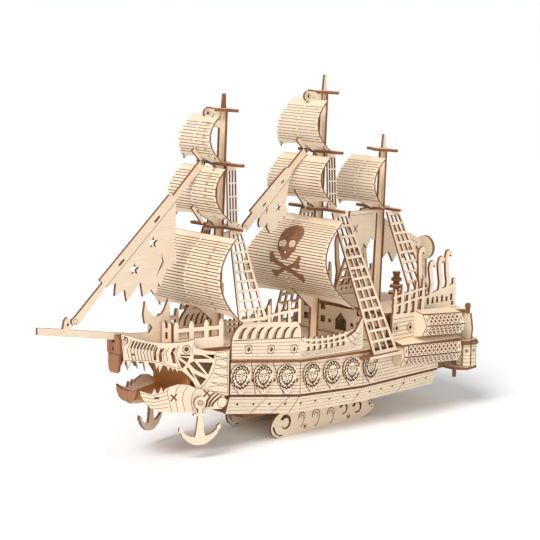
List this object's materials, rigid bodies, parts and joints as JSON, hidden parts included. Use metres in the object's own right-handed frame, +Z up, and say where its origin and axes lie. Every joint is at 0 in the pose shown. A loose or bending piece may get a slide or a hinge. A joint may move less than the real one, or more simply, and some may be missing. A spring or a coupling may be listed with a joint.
{
  "type": "wooden 3d jigsaw model",
  "caption": "Laser-cut plywood galleon puzzle with a beast-skull bow, hinged-cut sails, ladder shrouds and hanging anchors, on a scroll stand.",
  "frame": {"origin": "on the table at the centre of the footprint of the whole model", "axes": "+X aft towards the stern, +Y to starboard, +Z up"},
  "size_m": [0.3634, 0.121, 0.2451],
  "materials": {
    "birch": "bare laser-cut birch plywood, pale face and burnt brown edge",
    "birch_edge": "laser-burnt brown plywood",
    "birch_sail": "bare thin birch plywood with fine burnt slits"
  },
  "bodies": {
    "ship": {"anchor_peg_port": "birch_edge", "anchor_peg_starboard": "birch_edge", "bowsprit_horn": "birch", "bulwark_port": "birch", "bulwark_starboard": "birch", "cabin_front": "birch", "crosstree_fore": "birch", "crosstree_main": "birch", "crosstree_mizzen": "birch", "forecastle": "birch", "gallery_port": "birch", "gallery_starboard": "birch", "hull_floor": "birch", "hull_lower_port": "birch", "hull_lower_starboard": "birch", "hull_side_port": "birch", "hull_side_starboard": "birch", "jaw_front": "birch_edge", "jaw_side_port": "birch", "jaw_side_starboard": "birch", "jib_stay": "birch_sail", "main_deck": "birch", "main_stay": "birch_sail", "mast_fore": "birch", "mast_main": "birch", "mast_mizzen": "birch", "mizzen_banner": "birch_sail", "mizzen_spanker": "birch_sail", "mouth_lining": "birch_edge", "poop_rail_port": "birch", "poop_rail_starboard": "birch", "quarter_side_port": "birch", "quarter_side_starboard": "birch", "quarterdeck": "birch", "sail_fore_lower": "birch_sail", "sail_fore_mid": "birch_sail", "sail_fore_top": "birch_sail", "sail_main_lower": "birch_sail", "sail_main_mid": "birch_sail", "sail_main_top": "birch_sail", "sail_mizzen": "birch_sail", "shroud_fore_port": "birch", "shroud_fore_starboard": "birch", "shroud_main_port": "birch", "shroud_main_starboard": "birch", "shroud_mizzen_port": "birch", "shroud_mizzen_starboard": "birch", "skull_side_port": "birch", "skull_side_starboard": "birch", "snout_front": "birch_edge", "stand_crossbar_aft": "birch", "stand_crossbar_fore": "birch", "stand_side_port": "birch", "stand_side_starboard": "birch", "stern_balcony": "birch", "stern_rail": "birch", "stern_sign": "birch", "transom": "birch"},
    "anchor_port": {"anchor_port": "birch"},
    "anchor_starboard": {"anchor_starboard": "birch"}
  },
  "joints": [
    {"name": "anchor_port_swing", "type": "hinge", "parent": "ship", "child": "anchor_port", "pos_m": [-0.06942, -0.02476, 0.0383], "axis": [-0.2983, -0.9545, 0], "range_deg": [-30, 30]},
    {"name": "anchor_starboard_swing", "type": "hinge", "parent": "ship", "child": "anchor_starboard", "pos_m": [-0.06942, 0.02476, 0.0383], "axis": [-0.2983, 0.9545, 0], "range_deg": [-30, 30]}
  ]
}
